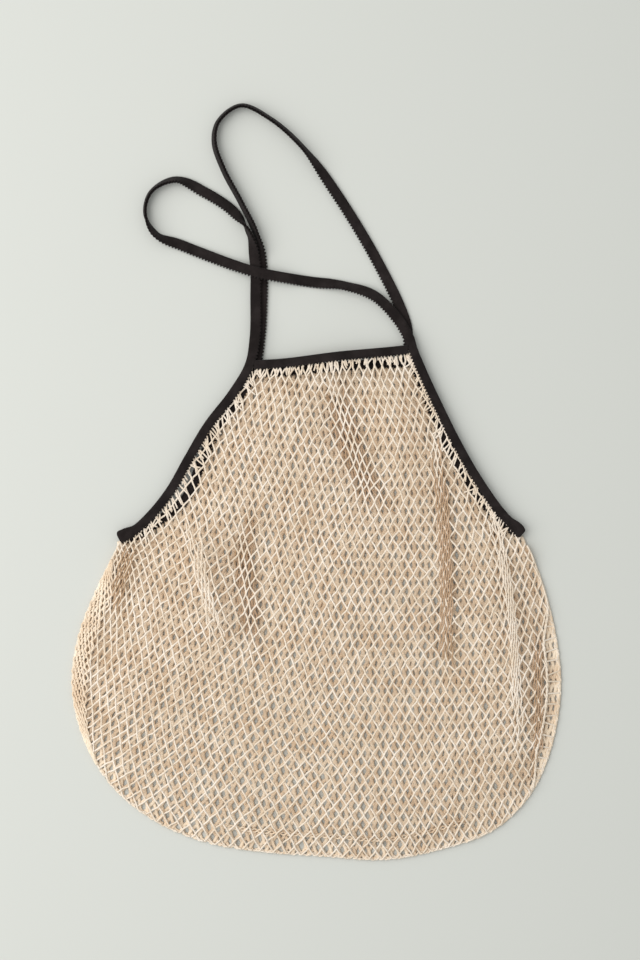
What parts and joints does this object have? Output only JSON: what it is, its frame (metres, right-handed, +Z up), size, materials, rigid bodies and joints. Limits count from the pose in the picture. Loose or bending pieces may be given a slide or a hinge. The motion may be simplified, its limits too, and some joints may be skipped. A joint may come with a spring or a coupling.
{
  "type": "net market bag",
  "caption": "Market bag of cotton net lying flat, with dark folded tape round its mouth and armholes that runs on as two soft shoulder handles.",
  "frame": {"origin": "on the floor plane, under the middle of the bag's box", "axes": "+Z up from the floor through the flat bag, +Y from the bottom of the net towards the handles, +X to the right as seen from above"},
  "size_m": [0.391, 0.6046, 0.0154],
  "materials": {
    "cotton_net": "undyed cotton yarn, matt and slightly hairy, looped into diamond meshes without knots",
    "black_tape": "near-black woven cotton tape, folded over and stitched, matt"
  },
  "bodies": {
    "root": {"front_net": "cotton_net", "back_net": "cotton_net", "front_mouth_binding": "black_tape", "back_mouth_binding": "black_tape", "front_carry_tape": "black_tape", "back_carry_tape": "black_tape"}
  },
  "joints": []
}
